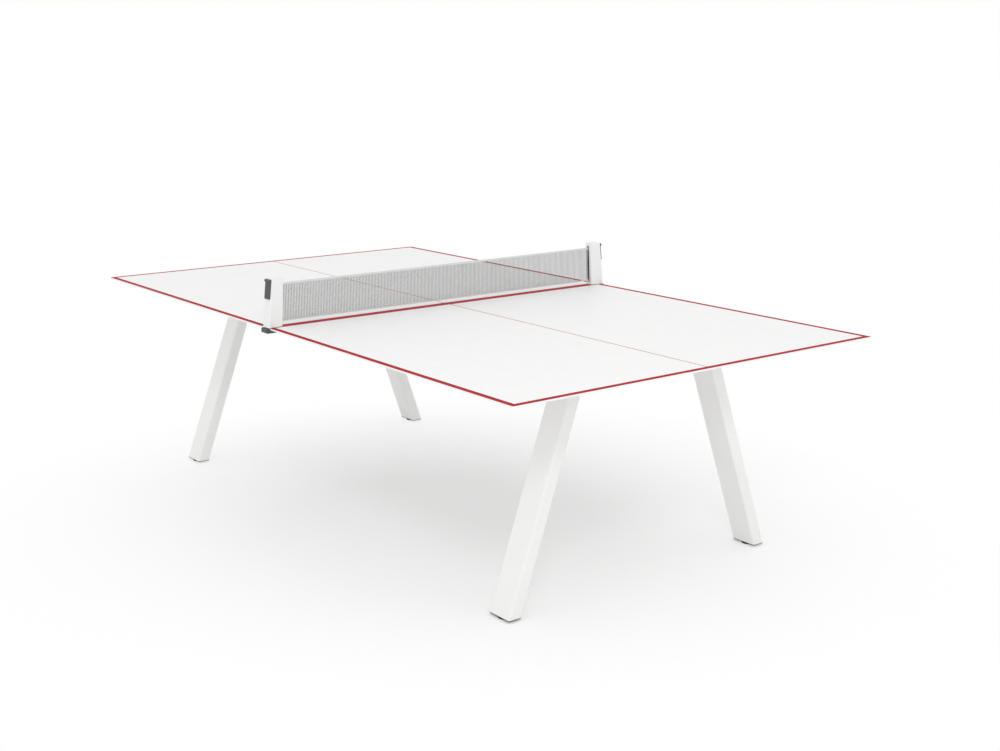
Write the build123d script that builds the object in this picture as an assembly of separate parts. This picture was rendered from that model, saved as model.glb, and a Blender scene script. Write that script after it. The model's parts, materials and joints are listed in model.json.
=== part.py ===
from build123d import *
import math
import os

# Playing top: two halves that meet under the net
TABLE_LENGTH = 2740.0
TABLE_WIDTH = 1525.0
TABLE_HEIGHT = 760.0
TOP_THICKNESS = 6.0
TOP_CORNER_RADIUS = 3.0
SEAM_GAP = 0.6

# Printed lines, as a thin layer flush with the playing surface
BORDER_LINE_WIDTH = 20.0
CENTRE_LINE_WIDTH = 4.0
LINE_DEPTH = 0.3

# Underframe of welded rectangular tube
BEAM_WIDTH = 40.0
BEAM_HEIGHT = 20.0
BEAM_INSET = 82.5
RAIL_WIDTH = 50.0
RAIL_HEIGHT = 30.0
RAIL_OVERHANG = 90.0
FRAME_WALL = 2.0
FRAME_CORNER_RADIUS = 3.0
LEAST_BORE_RADIUS = 0.5
CAP_LIP = 3.0
CAP_PLUG_DEPTH = 12.0
CAP_CLEARANCE = 0.15

# Legs: flat rectangular tube, leaning across the table only
LEG_INSET_X = 319.0
LEG_FOOT_SPACING_Y = 1080.0
LEG_TOP_SPACING_Y = 594.0
LEG_SIZE_X = 98.0
LEG_SIZE_Y = 48.0
LEG_WALL = 2.5
LEG_CORNER_RADIUS = 5.0
PLATE_LENGTH = 160.0
PLATE_THICKNESS = 5.0
PLATE_CORNER_RADIUS = 6.0
PLATE_BOLT_SPACING = 132.0
BOLT_RADIUS = 4.0
BOLT_HEAD_FLATS = 13.0
BOLT_HEAD_HEIGHT = 5.3
BOLT_GRIP = 9.0
BOLT_CLEARANCE = 0.2
PLUG_DEPTH = 25.0
PLUG_CLEARANCE = 0.15
PLUG_LIP = 2.0

# Levelling feet
FOOT_RADIUS = 23.0
FOOT_RIM_HEIGHT = 4.0
FOOT_HUB_RADIUS = 10.0
FOOT_HEIGHT = 5.5
FOOT_EDGE = 1.0
FOOT_GAP = 0.5
STEM_RADIUS = 5.0
STEM_LENGTH = 20.0
STEM_CLEARANCE = 0.05

# Screws that hold the top to the cross beams
TOP_SCREW_RADIUS = 2.2
TOP_SCREW_HEAD_RADIUS = 4.5
TOP_SCREW_HEAD_HEIGHT = 2.6
TOP_SCREW_BITE = 4.0
TOP_SCREW_CLEARANCE = 0.2
TOP_SCREW_INSET = 80.0
SEAM_SCREW_OFFSET = 10.0

# Net posts, in their own frame: Y outward from the table's edge, Z up from the playing surface
POST_HEIGHT = 172.0
POST_INNER_BOTTOM = -52.0
POST_INNER_TOP = -60.0
POST_OUTER_BOTTOM = 6.5
POST_OUTER_TOP = -11.0
POST_INNER_HALF = 15.5
POST_OUTER_HALF_BOTTOM = 23.0
POST_OUTER_HALF_TOP = 21.8
POST_CORNER_RADIUS = 5.0
POST_TOP_RADIUS = 2.0
POST_WALL = 2.0
POST_PAD_THICKNESS = 1.5
POST_PAD_INSET = 1.5
NET_SLOT_HALF = 4.5
NET_SLOT_BOTTOM = 8.0
NET_SLOT_TOP = 160.0
SHELF_THICKNESS = 4.0
SHELF_OUTER_Y = -23.0
BOSS_RADIUS = 3.2
BOSS_Y = -19.5
BOSS_HEIGHTS = (25.0, 150.0)
SHELL_SCREW_RADIUS = 1.4
SHELL_SCREW_HEAD_RADIUS = 2.6
SHELL_SCREW_HEAD_HEIGHT = 1.8
SHELL_SCREW_DEPTH = 11.0
SHELL_SCREW_RECESS = 12.0
SHELL_SCREW_CLEARANCE = 0.1

# Clamp: a lever on the sloping outer wall, keyed to the slider bar behind it, which carries the jaw
CLAMP_GAP = 0.4
CLAMP_TRAVEL = 28.0
SLIDER_THICKNESS = 2.4
SLIDER_HALF = 12.0
SLIDER_TOP = 155.0
SLIDER_CLEARANCE = 0.6
LEVER_THICKNESS = 2.4
LEVER_HALF = 18.8
LEVER_BOTTOM = 100.0
LEVER_TOP = 168.0
LEVER_CORNER_RADIUS = 4.0
LEVER_LIP_BOTTOM = 156.0
LEVER_LIP_TOP = 165.0
LEVER_LIP_REACH = 8.0
LEVER_LIP_EDGE = 2.5
KEY_HALF = 8.0
KEY_BOTTOM = 132.0
KEY_TOP = 150.0
KEY_CLEARANCE = 0.1
CHANNEL_BACK_THICKNESS = 2.0
CHANNEL_BACK_BOTTOM = 94.0
JAW_HALF = 20.0
JAW_REACH = 32.0
JAW_HEEL = 13.5
JAW_BOTTOM = -17.5
JAW_EDGE_CLEARANCE = 1.0
JAW_TOP_CLEARANCE = 0.8
JAW_CHAMFER = 2.5
JAW_PAD_THICKNESS = 2.0
JAW_PAD_INSET = 3.0
LEDGE_BOTTOM = 72.0
LEDGE_THICKNESS = 3.0
LEDGE_HALF = 6.0
SPRING_RADIUS = 4.0
SPRING_WIRE = 1.2
SPRING_TURNS = 7
SPRING_END_GAP = 0.3
SPRING_SIDE_GAP = 0.6

# Roller in the near post, end bar in the far post
ROLLER_RADIUS = 6.0
ROLLER_NET_GAP = 0.3
ROLLER_Y = -34.0
ROLLER_END_GAP = 0.3
TRUNNION_RADIUS = 2.0
TRUNNION_CLEARANCE = 0.05
BUSH_RADIUS = 4.0
END_BAR_HALF = 4.0
END_BAR_SETBACK = 0.5
END_BAR_TENON_Y = -48.0
END_BAR_BACK_Y = -43.0
END_BAR_END_GAP = 0.3
END_BAR_SOCKET_FLOOR = 1.5
END_BAR_GROOVE_Y = -47.0
END_BAR_GROOVE_CLEARANCE = 0.2

# Net
NET_BOTTOM = 16.0
NET_TOP = 152.5
NET_THICKNESS = 0.8
NET_COLUMNS = 50
NET_ROWS = 6
NET_STRAND = 2.0
TAPE_HEIGHT = 10.0
HEM_HEIGHT = 8.0
TAPE_THICKNESS = 0.6
TAPE_CLEARANCE = 0.1

# Levels and places worked out from the sizes above
EDGE_Y = TABLE_WIDTH / 2
TOP_UNDERSIDE = TABLE_HEIGHT - TOP_THICKNESS
BEAM_UNDERSIDE = TOP_UNDERSIDE - BEAM_HEIGHT
RAIL_UNDERSIDE = BEAM_UNDERSIDE - RAIL_HEIGHT
LEG_TOP = RAIL_UNDERSIDE - PLATE_THICKNESS
LEG_END = FOOT_HEIGHT + FOOT_GAP + PLUG_LIP
LEG_X = TABLE_LENGTH / 2 - LEG_INSET_X
LEG_FOOT_Y = LEG_FOOT_SPACING_Y / 2
RAIL_Y = LEG_TOP_SPACING_Y / 2
RAIL_LENGTH = 2 * (LEG_X + RAIL_OVERHANG)
BEAM_LENGTH = TABLE_WIDTH - 2 * BEAM_INSET
TOP_SCREW_REACH = BEAM_LENGTH / 2 - TOP_SCREW_INSET
BEAM_X = {"near_end": LEG_X, "near_mid": LEG_X / 2, "seam": 0.0, "far_mid": -LEG_X / 2, "far_end": -LEG_X}
CORNERS = {"near_left": (1, -1), "near_right": (1, 1), "far_left": (-1, -1), "far_right": (-1, 1)}
SIDES = {"left": -1, "right": 1}
SLIDER_OUT = POST_WALL + CLAMP_GAP
SLIDER_IN = SLIDER_OUT + SLIDER_THICKNESS
LEVER_FRONT = CLAMP_GAP + LEVER_THICKNESS
CHANNEL_BACK = SLIDER_IN + SLIDER_CLEARANCE
POST_FLOOR = POST_PAD_THICKNESS + POST_WALL
TAPE_HALF = NET_THICKNESS / 2 + TAPE_CLEARANCE + TAPE_THICKNESS
NET_START = -EDGE_Y - ROLLER_Y
NET_END = EDGE_Y + END_BAR_GROOVE_Y - END_BAR_GROOVE_CLEARANCE
ROLLER_X = -(ROLLER_RADIUS + ROLLER_NET_GAP + TAPE_HALF)
MIN_Z = (Align.CENTER, Align.CENTER, Align.MIN)
MAX_Z = (Align.CENTER, Align.CENTER, Align.MAX)
CLAMP_LEAN = math.degrees(math.atan((POST_OUTER_BOTTOM - POST_OUTER_TOP) / POST_HEIGHT))


def box(x0, x1, y0, y1, z0, z1):
    """Solid block between two corners."""
    centre = ((x0 + x1) / 2, (y0 + y1) / 2, (z0 + z1) / 2)
    return Pos(*centre) * Box(x1 - x0, y1 - y0, z1 - z0)


def across(points, half):
    """Side profile of (y, z) points, extruded evenly to both sides of X = 0."""
    return extrude(Plane.YZ * Polygon(*points, align=None), half, both=True)


def upright(radius, height, x, y, z):
    """Vertical cylinder that stands on z."""
    return Pos(x, y, z) * Cylinder(radius, height, align=MIN_Z)


def tube_section(width, height, wall, radius):
    """Rounded rectangular tube section."""
    bore_radius = max(radius - wall, LEAST_BORE_RADIUS)
    bore = RectangleRounded(width - 2 * wall, height - 2 * wall, bore_radius)
    return RectangleRounded(width, height, radius) - bore


def line_layer(side):
    """Red border and centre line printed on one half of the top."""
    length = TABLE_LENGTH / 2 - SEAM_GAP / 2
    middle = SEAM_GAP / 2 + length / 2
    border = top_outline(side)
    borders = 2 * BORDER_LINE_WIDTH
    field = Pos(side * middle, 0) * Rectangle(length - borders, TABLE_WIDTH - borders)
    stripe = Pos(side * middle, 0) * Rectangle(length - BORDER_LINE_WIDTH, CENTRE_LINE_WIDTH)
    lines = border - field + stripe
    return extrude(Plane.XY.offset(TABLE_HEIGHT - LINE_DEPTH) * lines, LINE_DEPTH)


def top_outline(side):
    """Plan of one half, with its two outer corners rounded."""
    length = TABLE_LENGTH / 2 - SEAM_GAP / 2
    plan_face = Pos(side * (SEAM_GAP / 2 + length / 2), 0) * Rectangle(length, TABLE_WIDTH)
    outer_corners = plan_face.vertices().group_by(Axis.X)[-1 if side > 0 else 0]
    return fillet(outer_corners, TOP_CORNER_RADIUS)


def top_screw_places():
    """Screw places on the beams: one row on each, and one row for each half at the seam."""
    places = []
    for name, x in BEAM_X.items():
        offsets = (-SEAM_SCREW_OFFSET, SEAM_SCREW_OFFSET) if name == "seam" else (0.0,)
        places += [(x + offset, y) for offset in offsets for y in (-TOP_SCREW_REACH, 0.0, TOP_SCREW_REACH)]
    return places


def top_half(side, lines):
    """One half of the top, with the printed lines let in and blind holes for its screws."""
    panel = extrude(Plane.XY.offset(TOP_UNDERSIDE) * top_outline(side), TOP_THICKNESS) - lines
    for x, y in top_screw_places():
        if x * side > 0:
            panel -= upright(TOP_SCREW_RADIUS, TOP_SCREW_BITE, x, y, TOP_UNDERSIDE)
    return panel


def top_screws():
    """Screws up through the beams into the top."""
    head_z = BEAM_UNDERSIDE - TOP_SCREW_HEAD_HEIGHT
    screws = []
    for x, y in top_screw_places():
        shank = upright(TOP_SCREW_RADIUS, BEAM_HEIGHT + TOP_SCREW_BITE, x, y, BEAM_UNDERSIDE)
        screws.append(shank + upright(TOP_SCREW_HEAD_RADIUS, TOP_SCREW_HEAD_HEIGHT, x, y, head_z))
    return Compound(children=screws)


def cross_beam(x):
    """Tube under the top, drilled for the top screws."""
    section = tube_section(BEAM_WIDTH, BEAM_HEIGHT, FRAME_WALL, FRAME_CORNER_RADIUS)
    beam = extrude(Plane.XZ * section, BEAM_LENGTH / 2, both=True)
    beam = Pos(x, 0, TOP_UNDERSIDE - BEAM_HEIGHT / 2) * beam
    hole = TOP_SCREW_RADIUS + TOP_SCREW_CLEARANCE
    for screw_x, screw_y in top_screw_places():
        if abs(screw_x - x) < BEAM_WIDTH / 2:
            beam -= upright(hole, BEAM_HEIGHT, screw_x, screw_y, BEAM_UNDERSIDE)
    return beam


def side_rail(side):
    """Long tube under the cross beams, drilled for the leg plates' bolts."""
    section = tube_section(RAIL_WIDTH, RAIL_HEIGHT, FRAME_WALL, FRAME_CORNER_RADIUS)
    rail = extrude(Plane.YZ * section, RAIL_LENGTH / 2, both=True)
    rail = Pos(0, side * RAIL_Y, BEAM_UNDERSIDE - RAIL_HEIGHT / 2) * rail
    for x in bolt_places_x():
        rail -= upright(BOLT_RADIUS + BOLT_CLEARANCE, FRAME_WALL, x, side * RAIL_Y, RAIL_UNDERSIDE)
    return rail


def end_cap(width, height):
    """Plastic cap for a tube's open end, drawn with its lip on XY and its plug going down."""
    lip = extrude(RectangleRounded(width, height, FRAME_CORNER_RADIUS), CAP_LIP)
    inset = 2 * (FRAME_WALL + CAP_CLEARANCE)
    plug_radius = max(FRAME_CORNER_RADIUS - FRAME_WALL, LEAST_BORE_RADIUS)
    plug = extrude(RectangleRounded(width - inset, height - inset, plug_radius), -CAP_PLUG_DEPTH)
    return lip + plug


def beam_end_caps():
    """Caps on both ends of every cross beam."""
    cap = end_cap(BEAM_WIDTH, BEAM_HEIGHT)
    level = TOP_UNDERSIDE - BEAM_HEIGHT / 2
    caps = []
    for x in BEAM_X.values():
        for side in SIDES.values():
            end = Plane((x, side * BEAM_LENGTH / 2, level), x_dir=(1, 0, 0), z_dir=(0, side, 0))
            caps.append(end * cap)
    return Compound(children=caps)


def rail_end_caps():
    """Caps on both ends of the two rails."""
    cap = end_cap(RAIL_WIDTH, RAIL_HEIGHT)
    level = BEAM_UNDERSIDE - RAIL_HEIGHT / 2
    caps = []
    for side in SIDES.values():
        for way in (-1, 1):
            end = Plane((way * RAIL_LENGTH / 2, side * RAIL_Y, level), x_dir=(0, 1, 0), z_dir=(way, 0, 0))
            caps.append(end * cap)
    return Compound(children=caps)


def bolt_places_x():
    """Bolt places along a rail, two for each leg plate."""
    return [way * LEG_X + offset * PLATE_BOLT_SPACING / 2 for way in (-1, 1) for offset in (-1, 1)]


def leg_plate(way, side):
    """Steel plate welded on a leg's top and bolted under the rail."""
    plate = extrude(RectangleRounded(PLATE_LENGTH, RAIL_WIDTH, PLATE_CORNER_RADIUS), PLATE_THICKNESS)
    plate = Pos(way * LEG_X, side * RAIL_Y, LEG_TOP) * plate
    for x in bolt_places_x():
        plate -= upright(BOLT_RADIUS + BOLT_CLEARANCE, PLATE_THICKNESS, x, side * RAIL_Y, LEG_TOP)
    return plate


def plate_bolts():
    """Hexagon bolts that hold the leg plates to the rails."""
    head = extrude(RegularPolygon(BOLT_HEAD_FLATS / 2, 6, major_radius=False), BOLT_HEAD_HEIGHT)
    bolts = []
    for side in SIDES.values():
        for x in bolt_places_x():
            bolt = Pos(x, side * RAIL_Y, LEG_TOP - BOLT_HEAD_HEIGHT) * head
            bolts.append(bolt + upright(BOLT_RADIUS, BOLT_GRIP, x, side * RAIL_Y, LEG_TOP))
    return Compound(children=bolts)


def leaning(section, way, side, height):
    """Level section at a leg's end, swept up along the leg's lean."""
    rise = height / (LEG_TOP - LEG_END)
    lean = Vector(0, side * (RAIL_Y - LEG_FOOT_Y) * rise, height)
    face = (Pos(way * LEG_X, side * LEG_FOOT_Y, LEG_END) * section).face()
    return Solid.extrude(face, lean)


def leg(way, side):
    """Leg tube, cut level at both ends."""
    section = tube_section(LEG_SIZE_X, LEG_SIZE_Y, LEG_WALL, LEG_CORNER_RADIUS)
    return leaning(section, way, side, LEG_TOP - LEG_END)


def leg_plug(way, side):
    """Plug in the leg's lower end, with a lip under the tube's edge, bored for the foot's stem."""
    inset = 2 * (LEG_WALL + PLUG_CLEARANCE)
    radius = max(LEG_CORNER_RADIUS - LEG_WALL, LEAST_BORE_RADIUS)
    plug = leaning(RectangleRounded(LEG_SIZE_X - inset, LEG_SIZE_Y - inset, radius), way, side, PLUG_DEPTH)
    lip = extrude(RectangleRounded(LEG_SIZE_X, LEG_SIZE_Y, LEG_CORNER_RADIUS), -PLUG_LIP)
    plug += Pos(way * LEG_X, side * LEG_FOOT_Y, LEG_END) * lip
    low = LEG_END - PLUG_LIP
    bore = STEM_RADIUS + STEM_CLEARANCE
    return plug - upright(bore, PLUG_LIP + PLUG_DEPTH, way * LEG_X, side * LEG_FOOT_Y, low)


def levelling_foot(way, side):
    """Round foot with its threaded stem, turned about its own upright axis."""
    profile = Polygon(
        (0, 0),
        (FOOT_RADIUS - FOOT_EDGE, 0),
        (FOOT_RADIUS, FOOT_EDGE),
        (FOOT_RADIUS, FOOT_RIM_HEIGHT),
        (FOOT_HUB_RADIUS, FOOT_HEIGHT),
        (STEM_RADIUS, FOOT_HEIGHT),
        (STEM_RADIUS, FOOT_HEIGHT + STEM_LENGTH),
        (0, FOOT_HEIGHT + STEM_LENGTH),
        align=None,
    )
    foot = revolve(Plane.XZ * profile, Axis.Z)
    return Pos(way * LEG_X, side * LEG_FOOT_Y, 0) * foot


def outer_y(z):
    """Outer face of a post at height z."""
    return POST_OUTER_BOTTOM + (POST_OUTER_TOP - POST_OUTER_BOTTOM) * z / POST_HEIGHT


def inner_y(z):
    """Inner face of a post at height z."""
    return POST_INNER_BOTTOM + (POST_INNER_TOP - POST_INNER_BOTTOM) * z / POST_HEIGHT


def along_wall(out, inward, z0, z1):
    """Side profile of a strip along the sloping outer wall, between two depths from its outer face."""
    low = [(outer_y(z0) - inward, z0), (outer_y(z0) - out, z0)]
    high = [(outer_y(z1) - out, z1), (outer_y(z1) - inward, z1)]
    return low + high


def post_plan(z, inset=0.0):
    """Plan of a post casing at height z, drawn in by inset."""
    share = z / POST_HEIGHT
    inner = inner_y(z) + inset
    outer = outer_y(z) - inset
    half_in = POST_INNER_HALF - inset
    half_out = POST_OUTER_HALF_BOTTOM + (POST_OUTER_HALF_TOP - POST_OUTER_HALF_BOTTOM) * share - inset
    corners = [(-half_in, inner), (half_in, inner), (half_out, outer), (-half_out, outer)]
    outline = Polygon(*corners, align=None)
    return Plane.XY.offset(z) * fillet(outline.vertices(), POST_CORNER_RADIUS - inset)


def post_casing(carrier, back):
    """Hollow casing with its shelves, screw bosses, slider channel and openings."""
    body = loft([post_plan(POST_PAD_THICKNESS), post_plan(POST_HEIGHT)], ruled=True)
    body = fillet(body.faces().sort_by(Axis.Z)[-1].edges(), POST_TOP_RADIUS)
    ceiling = POST_HEIGHT - POST_WALL
    hollow = loft([post_plan(POST_FLOOR, POST_WALL), post_plan(ceiling, POST_WALL)], ruled=True)
    deep = POST_INNER_TOP
    wide = POST_OUTER_HALF_BOTTOM
    fittings = box(-wide, wide, deep, SHELF_OUTER_Y, NET_SLOT_BOTTOM, NET_SLOT_BOTTOM + SHELF_THICKNESS)
    fittings += box(-wide, wide, deep, SHELF_OUTER_Y, NET_SLOT_TOP, NET_SLOT_TOP + SHELF_THICKNESS)
    for z in BOSS_HEIGHTS:
        fittings += Pos(0, BOSS_Y, z) * Rot(0, 90, 0) * Cylinder(BOSS_RADIUS, 2 * wide)
    channel_in = CHANNEL_BACK + CHANNEL_BACK_THICKNESS
    fittings += across(along_wall(CHANNEL_BACK, channel_in, CHANNEL_BACK_BOTTOM, POST_HEIGHT), wide)
    casing = body - hollow + (fittings & hollow)
    slot_in = POST_INNER_BOTTOM + POST_WALL + POST_CORNER_RADIUS
    slot_low = NET_SLOT_BOTTOM + SHELF_THICKNESS
    casing -= box(-NET_SLOT_HALF, NET_SLOT_HALF, 2 * deep, slot_in, slot_low, NET_SLOT_TOP)
    window_low = KEY_BOTTOM - CLAMP_TRAVEL - SLIDER_CLEARANCE
    window = along_wall(-wide, SLIDER_OUT, window_low, KEY_TOP + SLIDER_CLEARANCE)
    casing -= across(window, KEY_HALF + SLIDER_CLEARANCE)
    exit_half = SLIDER_HALF + SLIDER_CLEARANCE
    casing -= across(along_wall(POST_WALL, CHANNEL_BACK, 0, POST_FLOOR), exit_half)
    return casing - carrier - shell_screw_holes(back)


def shell_screw_holes(back):
    """Holes and head recesses for the screws, from the back shell into the front one."""
    holes = []
    for z in BOSS_HEIGHTS:
        start = Plane((back * SHELL_SCREW_RECESS, BOSS_Y, z), z_dir=(-back, 0, 0))
        depth = SHELL_SCREW_RECESS + SHELL_SCREW_DEPTH
        shank = start * Cylinder(SHELL_SCREW_RADIUS + SHELL_SCREW_CLEARANCE, depth, align=MIN_Z)
        head_radius = SHELL_SCREW_HEAD_RADIUS + SHELL_SCREW_CLEARANCE
        head = start * Cylinder(head_radius, POST_OUTER_HALF_BOTTOM, align=MAX_Z)
        holes.append(shank + head)
    return Compound(children=holes)


def shell_screws(back):
    """Screws that close the two shells."""
    screws = []
    for z in BOSS_HEIGHTS:
        start = Plane((back * SHELL_SCREW_RECESS, BOSS_Y, z), z_dir=(-back, 0, 0))
        shank = start * Cylinder(SHELL_SCREW_RADIUS, SHELL_SCREW_RECESS + SHELL_SCREW_DEPTH, align=MIN_Z)
        head = start * Cylinder(SHELL_SCREW_HEAD_RADIUS, SHELL_SCREW_HEAD_HEIGHT, align=MAX_Z)
        screws.append(shank + head)
    return Compound(children=screws)


def half_space(way):
    """Everything on one side of the casing's parting plane."""
    far = POST_HEIGHT
    return box(0, far, -far, far, -far, 2 * far) if way > 0 else box(-far, 0, -far, far, -far, 2 * far)


def post_pad():
    """Rubber pad between a post and the playing surface, kept inside the table's edge."""
    inset = POST_PAD_INSET
    pad = extrude(post_plan(0, inset), POST_PAD_THICKNESS)
    return pad & box(-POST_HEIGHT, POST_HEIGHT, -POST_HEIGHT, -inset, 0, POST_PAD_THICKNESS)


def clamp_lever():
    """Thumb lever: a plate on the outer wall with a lip, a sloping top and a key through the window."""
    lip_y = outer_y(LEVER_LIP_TOP) + LEVER_LIP_REACH
    profile = [
        (outer_y(LEVER_BOTTOM) + CLAMP_GAP, LEVER_BOTTOM),
        (outer_y(LEVER_BOTTOM) + LEVER_FRONT, LEVER_BOTTOM),
        (outer_y(LEVER_LIP_BOTTOM) + LEVER_FRONT, LEVER_LIP_BOTTOM),
        (lip_y, LEVER_LIP_TOP - LEVER_LIP_EDGE),
        (lip_y, LEVER_LIP_TOP),
        (outer_y(LEVER_TOP) + LEVER_FRONT, LEVER_TOP),
        (outer_y(LEVER_TOP) + CLAMP_GAP, LEVER_TOP),
    ]
    plate = across(profile, LEVER_HALF)
    lower_corners = plate.edges().filter_by(Axis.Y).group_by(Axis.Z)[0]
    plate = fillet(lower_corners, LEVER_CORNER_RADIUS)
    return plate + across(along_wall(-CLAMP_GAP, SLIDER_IN, KEY_BOTTOM, KEY_TOP), KEY_HALF)


def clamp_jaw():
    """Jaw under the board, with the slider bar that takes the lever's key, and the spring's ledge."""
    pad_level = -TOP_THICKNESS - JAW_PAD_THICKNESS
    heel_top = -JAW_TOP_CLEARANCE
    hook = [
        (-JAW_REACH, pad_level),
        (-JAW_REACH, JAW_BOTTOM + JAW_CHAMFER),
        (-JAW_REACH + JAW_CHAMFER, JAW_BOTTOM),
        (JAW_HEEL - JAW_CHAMFER, JAW_BOTTOM),
        (JAW_HEEL, JAW_BOTTOM + JAW_CHAMFER),
        (JAW_HEEL, heel_top - JAW_CHAMFER),
        (JAW_HEEL - JAW_CHAMFER, heel_top),
        (JAW_EDGE_CLEARANCE, heel_top),
        (JAW_EDGE_CLEARANCE, pad_level),
    ]
    bar = across(along_wall(SLIDER_OUT, SLIDER_IN, pad_level, SLIDER_TOP), SLIDER_HALF)
    keyway = along_wall(0, CHANNEL_BACK, KEY_BOTTOM - KEY_CLEARANCE, KEY_TOP + KEY_CLEARANCE)
    bar -= across(keyway, KEY_HALF + KEY_CLEARANCE)
    ledge_in = spring_depth() + SPRING_RADIUS + SPRING_WIRE
    ledge_top = LEDGE_BOTTOM + LEDGE_THICKNESS
    ledge = across(along_wall(SLIDER_OUT, ledge_in, LEDGE_BOTTOM, ledge_top), LEDGE_HALF)
    return across(hook, JAW_HALF) + bar + ledge


def jaw_pad():
    """Rubber pad on the jaw, against the underside of the board."""
    return box(-JAW_HALF + JAW_PAD_INSET, JAW_HALF - JAW_PAD_INSET, -JAW_REACH + JAW_PAD_INSET,
               -JAW_PAD_INSET, -TOP_THICKNESS - JAW_PAD_THICKNESS, -TOP_THICKNESS)


def spring_depth():
    """Depth of the spring's axis behind the outer wall."""
    return SLIDER_IN + SPRING_SIDE_GAP + SPRING_RADIUS + SPRING_WIRE / 2


def clamp_spring():
    """Compression spring from the casing's floor to the slider's ledge, parallel to the outer wall."""
    end_gap = SPRING_END_GAP + SPRING_WIRE
    low = POST_FLOOR + end_gap
    high = LEDGE_BOTTOM - end_gap
    foot = Vector(0, outer_y(low) - spring_depth(), low)
    head = Vector(0, outer_y(high) - spring_depth(), high)
    length = (head - foot).length
    coil = Helix(length / SPRING_TURNS, length, SPRING_RADIUS)
    section = Plane(coil @ 0, z_dir=coil % 0) * Rectangle(SPRING_WIRE, SPRING_WIRE)
    spring = sweep(section, path=coil, is_frenet=True)
    return Pos(*foot) * Rot(CLAMP_LEAN, 0, 0) * spring


def net_roller():
    """Roller that takes up the net, with a trunnion at each end."""
    low = NET_SLOT_BOTTOM + SHELF_THICKNESS + ROLLER_END_GAP
    high = NET_SLOT_TOP - ROLLER_END_GAP
    drum = upright(ROLLER_RADIUS, high - low, ROLLER_X, ROLLER_Y, low)
    axle_top = NET_SLOT_TOP + SHELF_THICKNESS
    return drum + upright(TRUNNION_RADIUS, axle_top - NET_SLOT_BOTTOM, ROLLER_X, ROLLER_Y, NET_SLOT_BOTTOM)


def bush_space():
    """Room in the two shelves for the roller's bushes."""
    low = upright(BUSH_RADIUS, SHELF_THICKNESS, ROLLER_X, ROLLER_Y, NET_SLOT_BOTTOM)
    high = upright(BUSH_RADIUS, SHELF_THICKNESS, ROLLER_X, ROLLER_Y, NET_SLOT_TOP)
    return Compound(children=[low, high])


def roller_bushes():
    """Plain bushes that the roller's trunnions turn in."""
    bushes = []
    for z in (NET_SLOT_BOTTOM, NET_SLOT_TOP):
        bush = upright(BUSH_RADIUS, SHELF_THICKNESS, ROLLER_X, ROLLER_Y, z)
        bore = upright(TRUNNION_RADIUS + TRUNNION_CLEARANCE, SHELF_THICKNESS, ROLLER_X, ROLLER_Y, z)
        bushes.append(bush - bore)
    return Compound(children=bushes)


def end_bar_space():
    """Core of the net's end bar, with its ends in blind sockets of the two shelves."""
    low = NET_SLOT_BOTTOM + END_BAR_SOCKET_FLOOR
    high = NET_SLOT_TOP + SHELF_THICKNESS - END_BAR_SOCKET_FLOOR
    return box(-END_BAR_HALF, END_BAR_HALF, END_BAR_TENON_Y, END_BAR_BACK_Y, low, high)


def end_bar():
    """Bar that fills the far post's slot and grips the net's end in a groove."""
    low = NET_SLOT_BOTTOM + SHELF_THICKNESS + END_BAR_END_GAP
    high = NET_SLOT_TOP - END_BAR_END_GAP
    front_low = (inner_y(low) + END_BAR_SETBACK, low)
    front_high = (inner_y(high) + END_BAR_SETBACK, high)
    strip = [front_low, (END_BAR_BACK_Y, low), (END_BAR_BACK_Y, high), front_high]
    gap = END_BAR_GROOVE_CLEARANCE
    half = TAPE_HALF + gap
    groove = box(-half, half, POST_INNER_TOP, END_BAR_GROOVE_Y, NET_BOTTOM - gap, NET_TOP + gap)
    return across(strip, END_BAR_HALF) + end_bar_space() - groove


def net_mesh():
    """Square net as one holed face, with its edges inside the tape and the hem."""
    low = NET_BOTTOM + TAPE_THICKNESS + TAPE_CLEARANCE
    high = NET_TOP - TAPE_THICKNESS - TAPE_CLEARANCE
    field_low = NET_BOTTOM + HEM_HEIGHT
    field_high = NET_TOP - TAPE_HEIGHT
    length = NET_END - NET_START
    pitch_y = (length - NET_STRAND) / NET_COLUMNS
    pitch_z = (field_high - field_low) / NET_ROWS
    centre = (-NET_THICKNESS / 2, (NET_START + NET_END) / 2, TABLE_HEIGHT)
    sheet = Plane(centre, x_dir=(0, 1, 0), z_dir=(1, 0, 0))
    outline = sheet * Pos(0, (low + high) / 2) * Rectangle(length, high - low)
    grid = GridLocations(pitch_y, pitch_z, NET_COLUMNS, NET_ROWS)
    middle = Pos(0, (field_low + field_high) / 2)
    gap = Rectangle(pitch_y - NET_STRAND, pitch_z - NET_STRAND)
    gaps = [(sheet * middle * place * gap).wire() for place in grid]
    return Solid.extrude(Face(outline.wire(), gaps), Vector(NET_THICKNESS, 0, 0))


def edge_binding(fold, reach):
    """Folded strip along an edge of the net: fold is the folded edge, reach the open one."""
    way = 1 if fold > reach else -1
    inside = fold - way * TAPE_THICKNESS
    slot = TAPE_HALF - TAPE_THICKNESS
    section = Polygon(
        (-TAPE_HALF, reach), (-TAPE_HALF, fold), (TAPE_HALF, fold), (TAPE_HALF, reach),
        (slot, reach), (slot, inside), (-slot, inside), (-slot, reach), align=None)
    start = Plane((0, NET_START, TABLE_HEIGHT), x_dir=(1, 0, 0), z_dir=(0, -1, 0))
    return Solid.extrude((start * section).face(), Vector(0, NET_END - NET_START, 0))


def on_table(shape, side):
    """Moves a post's piece from its own frame to the table's edge, turned to face the net."""
    return Pos(0, side * EDGE_Y, TABLE_HEIGHT) * Rot(0, 0, 0 if side > 0 else 180) * shape


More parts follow.
